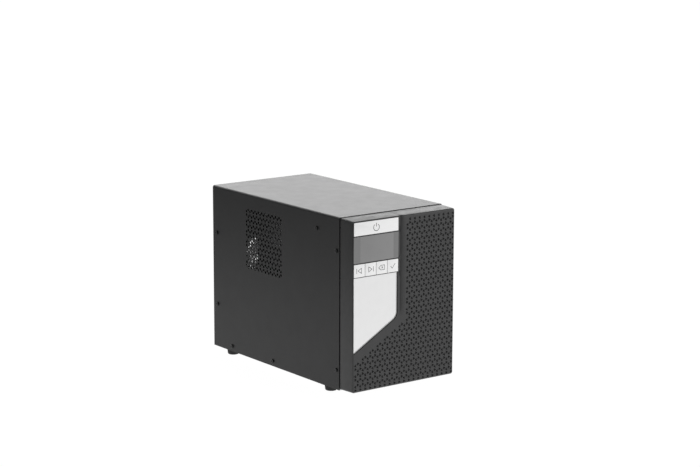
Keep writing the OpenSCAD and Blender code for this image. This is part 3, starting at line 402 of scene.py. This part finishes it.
def dimple(centre, right):
    """A triangle with blunted corners that points right or left."""
    corner_r = 0.45
    reach = DIMPLE_SIDE / math.sqrt(3) - 2 * corner_r
    points = []
    for k in range(3):
        angle = (0 if right else 180) + 120 * k
        turn = math.radians(angle)
        tip = (centre[0] + reach * math.cos(turn), centre[1] + reach * math.sin(turn))
        points += arc(tip, corner_r, angle - 60, angle + 60, 2)
    return points


def dimple_places():
    """Centres of the triangular dimples and whether each points right, over the textured field."""
    edge, top_margin, under_trim = 3.4, 0.6, 14.5
    left = -CASE_X + LEAN_X + edge
    right = CASE_X - LEAN_X - edge
    low = CASE_Z0 + LEAN_Z + edge
    high = CASE_Z1 - LEAN_Z - edge - top_margin
    field_x = groove_x1 + 1.6
    line_z = trim_lo.z - under_trim
    line_slope = math.tan(math.radians(29))
    spare_rows = 30
    rows = int((high - low) / DIMPLE_PITCH) + 2 * spare_rows
    places = []
    for q in range(int((right - left) / DIMPLE_COLUMN) + 1):
        x = right - q * DIMPLE_COLUMN
        for row in range(-1, rows):
            z = low + (row - spare_rows + q / 2) * DIMPLE_PITCH
            kind = (row - q) % 3
            if kind == 2 or not low <= z <= high:
                continue
            if x >= field_x or z <= line_z + (x - COLUMN_X0) * line_slope:
                places.append(((x, z), kind == 0))
    return places


def front_face(bm, outer, holes, extra):
    """Fills the front between its outer loop and its holes, following the groove."""
    cell = 10
    points, edges = [], []
    for loop in (outer, *holes):
        first = len(points)
        points += [Vector(p) for p in loop]
        edges += [(first + i, first + (i + 1) % len(loop)) for i in range(len(loop))]
    points += [Vector(p) for p in extra]
    flat, _, triangles, *_ = delaunay_2d_cdt(points, edges, [], 0, 1e-4)
    cells = {}
    for loop in holes:
        xs, zs = [p[0] for p in loop], [p[1] for p in loop]
        for i in range(int(min(xs) // cell), int(max(xs) // cell) + 1):
            for j in range(int(min(zs) // cell), int(max(zs) // cell) + 1):
                cells.setdefault((i, j), []).append(loop)
    verts = [bm.verts.new((p.x, FRONT_Y + groove_depth(p.x, p.y), p.y)) for p in flat]
    for triangle in triangles:
        middle = sum((flat[i] for i in triangle), Vector((0, 0))) / 3
        near = cells.get((int(middle.x // cell), int(middle.y // cell)), [])
        if in_loop(middle, outer) and not any(in_loop(middle, loop) for loop in near):
            bm.faces.new([verts[i] for i in triangle])


def add_pocket(bm, loop, depth):
    rim = add_ring(bm, loop, lambda x, z: FRONT_Y + groove_depth(x, z))
    floor = add_ring(bm, loop, FRONT_Y + depth)
    bridge(bm, rim, floor)
    cap(bm, floor)


def add_dimple(bm, loop):
    rim = add_ring(bm, loop, FRONT_Y)
    lip = add_ring(bm, shrink(loop, 0.93), FRONT_Y + 0.12)
    floor = add_ring(bm, shrink(loop, DIMPLE_FLOOR), FRONT_Y + DIMPLE_DEPTH)
    bridge(bm, rim, lip)
    bridge(bm, lip, floor)
    cap(bm, floor)


def cover_loop(inset, y, top_x):
    """The front cover's outline at a depth, drawn in by inset."""
    share = (y - FRONT_Y) / (SEAM_Y - SEAM_GAP - FRONT_Y)
    lean_x = LEAN_X + (RIM_STEP - LEAN_X) * share
    lean_z = LEAN_Z + (RIM_STEP - LEAN_Z) * share
    x = CASE_X - lean_x - inset
    z0 = CASE_Z0 + lean_z + inset
    z1 = CASE_Z1 - lean_z - inset
    return rounded_rect(-x, x, z0, z1, max(CORNER_R - inset, 0.8), 5, top_x)


def add_bosses(bm):
    """The four pegs that hold the cover in the front plate, each on its boss."""
    peg_r, boss_r, peg_end, chamfer, rest_gap = 2.5, 4.4, 5.0, 0.8, 0.15
    x = CASE_X - 8
    low_z, high_z = CASE_Z0 + 24, CASE_Z1 - 14
    key_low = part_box("key_next")[0].z / MM
    places = [(-x, low_z), (-x, key_low - 12), (x, low_z), (x, high_z)]
    boss_end = SEAM_Y - rest_gap
    profile = [(boss_r, FRONT_Y + WALL - 0.5), (boss_r, boss_end), (peg_r, boss_end),
               (peg_r, SEAM_Y + peg_end - chamfer), (peg_r - chamfer, SEAM_Y + peg_end)]
    for place in places:
        rings = [add_ring(bm, arc(place, r, 0, 345, 23), y) for r, y in profile]
        for first, second in zip(rings, rings[1:]):
            bridge(bm, first, second)
        cap(bm, rings[-1])
        cap(bm, rings[0])


def add_shell(bm, columns):
    """The cover's open box: a rounded front edge, the outer walls, the rim and the inner faces."""
    back_y = SEAM_Y - SEAM_GAP
    steps, rim_edge = 5, 0.4
    stages = []
    for k in range(steps + 1):
        a = math.pi / 2 * k / steps
        stages.append((EDGE_R * (1 - math.sin(a)), FRONT_Y + EDGE_R * (1 - math.cos(a)), True))
    stages += [(0, back_y - rim_edge, False), (rim_edge, back_y, False), (WALL - rim_edge, back_y, False),
               (WALL, back_y - rim_edge, False), (WALL, FRONT_Y + WALL, False)]
    rings = []
    for inset, y, grooved in stages:
        loop = cover_loop(inset, y, columns)
        top = max(z for x, z in loop) - 0.01

        def depth(x, z, y=y, grooved=grooved, top=top):
            return y + groove_depth(x, CASE_Z1) if grooved and z > top else y

        rings.append(add_ring(bm, loop, depth))
    for first, second in zip(rings, rings[1:]):
        bridge(bm, first, second)
    cap(bm, rings[-1])


def front_pockets():
    """Outline and depth of the pockets for the keys, the window and the trim panel."""
    gap, window_gap, trim_gap, corner_r = 0.5, 0.15, 0.8, 0.4
    power_lo, power_hi = (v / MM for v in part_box("power_key"))
    key_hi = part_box("key_confirm")[1] / MM
    x0, x1 = COLUMN_X0, COLUMN_X1
    power = rounded_rect(x0 - gap, x1 + gap, power_lo.z - gap, power_hi.z + gap, corner_r, 2)
    window = rounded_rect(x0 - window_gap, x1 + window_gap, window_lo.z - window_gap,
                          window_hi.z + window_gap, corner_r, 2)
    keys = rounded_rect(x0 - gap, x1 + gap, trim_hi.z + 0.12, key_hi.z + gap, corner_r, 2)
    return [(power, POCKET_DEPTH), (window, WINDOW_DEPTH), (keys, POCKET_DEPTH),
            (trim_outline(-trim_gap, -0.06), TRIM_DEPTH)]


def groove_points(columns):
    """Points over the grooved stretch of the front, closer together where the groove fades out."""
    top = CASE_Z1 - LEAN_Z - EDGE_R
    step, fading, full = 2.5, 9, 12
    rows = [CASE_Z0 + GROOVE_FADE[0] + step * i for i in range(fading)]
    rows += [rows[-1] + (top - rows[-1]) * i / full for i in range(1, full)]
    return [(x, z) for x in columns for z in rows]


def add_key_block(bm):
    """The thicker block behind the display column that the keys are guided in."""
    margin, corner_r = 1.5, 1.5
    low_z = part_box("key_previous")[0].z / MM - 3
    high_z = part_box("power_key")[1].z / MM + 0.8
    block = rounded_rect(-CASE_X + LEAN_X + margin, groove_x1 + 1, low_z, high_z, corner_r, 3)
    low = add_ring(bm, block, FRONT_Y + WALL - 0.6)
    high = add_ring(bm, block, FRONT_Y + BLOCK_DEPTH)
    bridge(bm, low, high)
    cap(bm, high)


def build_front_cover():
    bm = bmesh.new()
    columns = groove_columns()
    add_shell(bm, columns)
    pockets = front_pockets()
    for loop, depth in pockets:
        add_pocket(bm, loop, depth)
    dimples = [dimple(centre, right) for centre, right in dimple_places()]
    for loop in dimples:
        add_dimple(bm, loop)
    holes = [loop for loop, _ in pockets] + dimples
    front_face(bm, cover_loop(EDGE_R, FRONT_Y, columns), holes, groove_points(columns))
    add_key_block(bm)
    add_bosses(bm)
    finish_mesh("front_moulding", bm, [MATERIALS["front_plastic"]], "cover", ["front_cover"],
                30)


# ---------------------------------------------------------------- trim panel, window and keys


def layered(bm, layers, cap_material=0):
    """Joins loops of equal length, each (loop, depth, material of the band that leads to it)."""
    rings = [(add_ring(bm, loop, y), material) for loop, y, material in layers]
    for (first, _), (second, material) in zip(rings, rings[1:]):
        bridge(bm, first, second, material)
    cap(bm, rings[0][0])
    cap(bm, rings[-1][0], cap_material)


def build_trim_panel():
    chamfer = 2.2
    face = trim_lo.y
    bm = bmesh.new()
    layered(bm, [
        (trim_outline(0.05, 0.0), trim_hi.y, 0),
        (trim_outline(0.0, 0.0), face + 1.1, 0),
        # The chamfer band takes material 1, a grey painted shade for the occlusion down into the gap beside
        # the trim.
        (trim_outline(chamfer, 0.12), face + 0.12, 1),
        (trim_outline(chamfer + 0.15, 0.25), face, 0),
    ])
    finish_mesh("trim_moulding", bm, [MATERIALS["trim_plastic"], chamfer_painted_shade], "cover", ["trim_panel"],
                20)


def slab(bm, x0, x1, z0, z1, y0, y1, radius=0.6, bevel=0.25, side=0):
    """A slab with round corners whose front edge, at y0, is softened; side is its side walls' material, for
    the keys a dark painted shade.
    """
    layered(bm, [
        (rounded_rect(x0, x1, z0, z1, radius, 4), y1, 0),
        (rounded_rect(x0, x1, z0, z1, radius, 4), y0 + bevel, side),
        (rounded_rect(x0 + bevel * 0.3, x1 - bevel * 0.3, z0 + bevel * 0.3, z1 - bevel * 0.3, radius, 4),
         y0 + bevel * 0.3, 0),
        (rounded_rect(x0 + bevel, x1 - bevel, z0 + bevel, z1 - bevel, radius, 4), y0, 0),
    ])


def ribbon(bm, points, width, y, closed=False):
    """A thin flat line of print, slightly proud of the face at y."""
    proud = 0.03
    count = len(points)
    rails = []
    for i, point in enumerate(points):
        before = points[i - 1] if closed or i > 0 else point
        after = points[(i + 1) % count] if closed or i < count - 1 else point
        a = Vector(point) - Vector(before)
        b = Vector(after) - Vector(point)
        a = a.normalized() if a.length else b.normalized()
        b = b.normalized() if b.length else a
        side = Vector((-(a + b).y, (a + b).x)).normalized()
        reach = width / 2 / max(side.dot(Vector((-a.y, a.x))), 0.5)
        rails.append((Vector(point) + side * reach, Vector(point) - side * reach))
    for i in range(count if closed else count - 1):
        quad = [rails[i][0], rails[(i + 1) % count][0], rails[(i + 1) % count][1], rails[i][1]]
        low = add_ring(bm, quad, y + proud)
        high = add_ring(bm, quad, y - proud)
        bridge(bm, low, high)
        cap(bm, high)
        cap(bm, low)


def icon_lines(key, x, z):
    """The generic symbol of a key, as lines about its middle: each (points, closed)."""
    if key == "power_key":
        return [(arc((x, z - 0.3), 4.6, 125, 415, 28), False), ([(x, z + 0.6), (x, z + 5.4)], False)]
    if key == "key_previous":
        return [([(x + 3.2, z + 3.4), (x - 2.2, z), (x + 3.2, z - 3.4)], True),
                ([(x - 4.4, z + 3.4), (x - 4.4, z - 3.4)], False)]
    if key == "key_next":
        return [([(x - 3.2, z + 3.4), (x + 2.2, z), (x - 3.2, z - 3.4)], True),
                ([(x + 4.4, z + 3.4), (x + 4.4, z - 3.4)], False)]
    if key == "key_clear":
        arrow = [(x - 5, z), (x - 1.6, z + 3), (x + 4.6, z + 3), (x + 4.6, z - 3), (x - 1.6, z - 3)]
        return [(arrow, True),
                ([(x - 0.4, z + 1.2), (x + 2, z - 1.2)], False),
                ([(x - 0.4, z - 1.2), (x + 2, z + 1.2)], False)]
    return [([(x - 3.8, z - 0.2), (x - 1, z - 3), (x + 3.8, z + 3)], False)]


def build_key(key):
    low, high = (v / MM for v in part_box(key))
    cap_t = 2.0
    bm = bmesh.new()
    # The side walls take material 1, the dark painted shade of the gaps between the keys.
    slab(bm, low.x, high.x, low.z, high.z, low.y, low.y + cap_t, 0.6, 0.22, 1)
    middle = ((low.x + high.x) / 2, (low.z + high.z) / 2)
    pad_r, pin_r, pin_inset, quarter = 2.0, 1.0, 4.0, (high.z - low.z) / 4
    stems = [(middle, pad_r, low.y + cap_t + 1.3)]
    stems += [((x, middle[1] - quarter), pin_r, high.y) for x in (low.x + pin_inset, high.x - pin_inset)]
    for place, radius, end in stems:
        rings = [add_ring(bm, arc(place, radius, 0, 340, 17), y) for y in (low.y + cap_t - 0.3, end)]
        bridge(bm, *rings)
        cap(bm, rings[0])
        cap(bm, rings[1])
    finish_mesh(key + "_cap", bm, [MATERIALS["key_plastic"], key_side_painted_shade], key + "_body", [key])
    bm = bmesh.new()
    for points, closed in icon_lines(key, *middle):
        ribbon(bm, points, 0.85 if key == "power_key" else 0.7, low.y, closed)
    finish_mesh(key + "_print", bm, [print_ink], key + "_body", ())


def build_window():
    bm = bmesh.new()
    slab(bm, window_lo.x, window_hi.x, window_lo.z, window_hi.z, window_lo.y, window_hi.y, 0.4, 0.2)
    finish_mesh("window_lens", bm, [MATERIALS["window_plastic"]], "cover", ["display_window"])
    bm = bmesh.new()
    left_band, right_band, edge = 10.5, 8.0, 0.5
    bands = ((window_lo.x + edge, window_lo.x + left_band), (window_hi.x - right_band, window_hi.x - edge))
    for x0, x1 in bands:
        middle = (x0 + x1) / 2
        ribbon(bm, [(middle, window_lo.z + edge), (middle, window_hi.z - edge)], x1 - x0, window_lo.y)
    shade = plain_plastic("window_band", (0.176, 0.176, 0.176), 0.22, 0.02)
    finish_mesh("window_bands", bm, [shade], "cover", ())


# ---------------------------------------------------------------- fan


def blade_ring(centre, angle, radius, hub_r, reach, y0, y1, thickness):
    """One section of a fan blade at a radius: a thin curved strip that turns as it runs back."""
    share = (radius - hub_r) / reach
    width = math.radians(42 - 8 * share)
    start = math.radians(angle) - math.radians(14) * share ** 2
    steps = 6
    front, back = [], []
    for i in range(steps + 1):
        t = i / steps
        turn = start + width * t
        y = y0 + (y1 - y0) * (0.12 + 0.76 * t ** 1.25)
        x, z = centre[0] + radius * math.cos(turn), centre[1] + radius * math.sin(turn)
        swell = thickness * (0.35 + 0.65 * math.sin(math.pi * (0.15 + 0.7 * t)))
        front.append((x, y - swell / 2, z))
        back.append((x, y + swell / 2, z))
    return front + back[::-1]


def build_fan_rotor():
    """Hub on its shaft, with a rounded rim towards the back, and seven curved blades."""
    low, high = (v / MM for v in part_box("fan_rotor"))
    frame_lo, frame_hi = (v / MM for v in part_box("fan_frame"))
    centre = ((frame_lo.x + frame_hi.x) / 2, (frame_lo.z + frame_hi.z) / 2)
    tip_r = (frame_hi.x - frame_lo.x) / 2 - 3.3
    hub_r, shaft_r, shaft_l, soft, blades, sections = 16.0, 1.5, 3.2, 1.2, 7, 6
    front = low.y + shaft_l
    bm = bmesh.new()
    profile = [(shaft_r, low.y), (shaft_r, front), (hub_r, front), (hub_r, high.y - soft),
               (hub_r - soft * 0.3, high.y - soft * 0.3), (hub_r - soft, high.y), (hub_r * 0.6, high.y),
               (hub_r * 0.57, high.y - 0.3)]
    rings = [add_ring(bm, arc(centre, r, 0, 352.5, 47), y) for r, y in profile]
    for first, second in zip(rings, rings[1:]):
        bridge(bm, first, second)
    cap(bm, rings[0])
    cap(bm, rings[-1])
    for k in range(blades):
        loops = []
        for i in range(sections + 1):
            radius = hub_r - 0.4 + (tip_r - hub_r + 0.4) * i / sections
            section = blade_ring(centre, 360 * k / blades, radius, hub_r, tip_r - hub_r, front, high.y, 1.4)
            loops.append([bm.verts.new(point) for point in section])
        for first, second in zip(loops, loops[1:]):
            bridge(bm, first, second)
        cap(bm, loops[0])
        cap(bm, loops[-1])
    finish_mesh("fan_wheel", bm, [MATERIALS["black_plastic"]], "fan", ["fan_rotor"], 40)


# ---------------------------------------------------------------- softened edges

SOFT_EDGES = {
    "battery_left": 1.2, "battery_right": 1.2, "pull_handle": 0.6, "slot_cover": 0.3, "feet": 0.5,
    "breaker_body": 0.3, "relays": 0.4, "outlet_bank_upper": 0.35, "outlet_bank_lower": 0.35,
    "ac_inlet": 0.35, "surge_ports": 0.3, "battery_socket": 0.4, "transformer_core": 0.3,
}


def soften_edges():
    """Rounds the sharp edges of moulded pieces by a radius in millimetres."""
    for name, radius in SOFT_EDGES.items():
        bevel = NODES[name].modifiers.new("soft_edges", "BEVEL")
        bevel.width = radius * MM
        bevel.segments = 2
        bevel.limit_method = "ANGLE"
        bevel.angle_limit = math.radians(50)
        bevel.harden_normals = True


# ---------------------------------------------------------------- floor and light

BACK_LEFT = (-0.93, 0.37, 0)
FRONT_LEFT = (-0.8, -0.6, 0)
BEHIND = (0.6, 0.8, 0)
FLOOR_DIM = 0.3
SKY_DIM = 0.3
SIDE_DIM = 0.25
BACK_GLOW = 2.75


def ease(nodes, links, value, start, end, low, high):
    """Turns a value that goes from start to end into one that eases from low to high."""
    ramp = nodes.new("ShaderNodeMapRange")
    ramp.interpolation_type = "SMOOTHSTEP"
    ramp.inputs["From Min"].default_value = start
    ramp.inputs["From Max"].default_value = end
    ramp.inputs["To Min"].default_value = low
    ramp.inputs["To Max"].default_value = high
    links.new(value, ramp.inputs["Value"])
    return ramp.outputs["Result"]


def along(nodes, links, vector, direction, *ramp):
    """Eases by how far a vector reaches out in a direction."""
    dot = nodes.new("ShaderNodeVectorMath")
    dot.operation = "DOT_PRODUCT"
    dot.inputs[1].default_value = direction
    links.new(vector, dot.inputs[0])
    return ease(nodes, links, dot.outputs["Value"], *ramp)


def product(nodes, links, first, *others):
    for other in others:
        times = nodes.new("ShaderNodeMath")
        times.operation = "MULTIPLY"
        links.new(first, times.inputs[0])
        links.new(other, times.inputs[1])
        first = times.outputs[0]
    return first


def add_floor():
    """A pale floor that glows like lit paper, so that almost no shadow is left on it."""
    size = 40
    bm = bmesh.new()
    corners = [(-size, -size), (size, -size), (size, size), (-size, size)]
    bm.faces.new([bm.verts.new((x, y, 0)) for x, y in corners])
    mesh = bpy.data.meshes.new("floor")
    bm.to_mesh(mesh)
    bm.free()
    floor = bpy.data.objects.new("floor", mesh)
    bpy.context.scene.collection.objects.link(floor)
    material = bpy.data.materials.new("floor")
    material.use_nodes = True
    nodes, links = material.node_tree.nodes, material.node_tree.links
    nodes.remove(nodes["Principled BSDF"])
    diffuse = nodes.new("ShaderNodeBsdfDiffuse")
    diffuse.inputs["Color"].default_value = (0.9, 0.9, 0.9, 1)
    glow = nodes.new("ShaderNodeEmission")
    place = nodes.new("ShaderNodeTexCoord").outputs["Object"]
    fade = product(nodes, links, along(nodes, links, place, BACK_LEFT, 0.45, 0.95, 1.04, FLOOR_DIM),
                   along(nodes, links, place, FRONT_LEFT, 0.65, 1.1, 1.0, FLOOR_DIM))
    links.new(fade, glow.inputs["Strength"])
    mix = nodes.new("ShaderNodeMixShader")
    mix.inputs["Fac"].default_value = 0.95
    links.new(diffuse.outputs[0], mix.inputs[1])
    links.new(glow.outputs[0], mix.inputs[2])
    links.new(mix.outputs[0], nodes["Material Output"].inputs["Surface"])
    mesh.materials.append(material)


def add_world():
    """A white studio: brightest behind the object on the right, darker overhead and on the left."""
    world = bpy.data.worlds.new("studio")
    world.use_nodes = True
    nodes, links = world.node_tree.nodes, world.node_tree.links
    direction = nodes.new("ShaderNodeTexCoord").outputs["Generated"]
    split = nodes.new("ShaderNodeSeparateXYZ")
    links.new(direction, split.inputs[0])
    strength = product(nodes, links,
                       ease(nodes, links, split.outputs["Z"], 0.48, 0.85, 1.0, SKY_DIM),
                       along(nodes, links, direction, BACK_LEFT, 0.3, 0.8, 1.0, SIDE_DIM),
                       along(nodes, links, direction, FRONT_LEFT, 0.3, 0.8, 1.0, SIDE_DIM),
                       along(nodes, links, direction, BEHIND, 0.45, 0.85, 1.0, BACK_GLOW))
    background = nodes["Background"]
    background.inputs["Color"].default_value = (1, 1, 1, 1)
    links.new(strength, background.inputs["Strength"])
    bpy.context.scene.world = world


def add_softbox(name, place, target, size, power):
    data = bpy.data.lights.new(name, "AREA")
    data.shape = "RECTANGLE"
    data.size, data.size_y = size
    data.energy = power
    light = bpy.data.objects.new(name, data)
    bpy.context.scene.collection.objects.link(light)
    light.location = place
    direction = Vector(target) - Vector(place)
    light.rotation_mode = "QUATERNION"
    light.rotation_quaternion = direction.to_track_quat("-Z", "Y")


# ---------------------------------------------------------------- build

paint_frame()
build_front_cover()
build_trim_panel()
build_window()
for key in KEYS:
    build_key(key)
build_fan_rotor()
soften_edges()
add_camera()
add_floor()
add_world()
add_softbox("key_light", (0.9, -2.6, 1.3), (0, 0, 0.15), (1.6, 1.0), 20)
bpy.context.scene.view_settings.view_transform = "Standard"
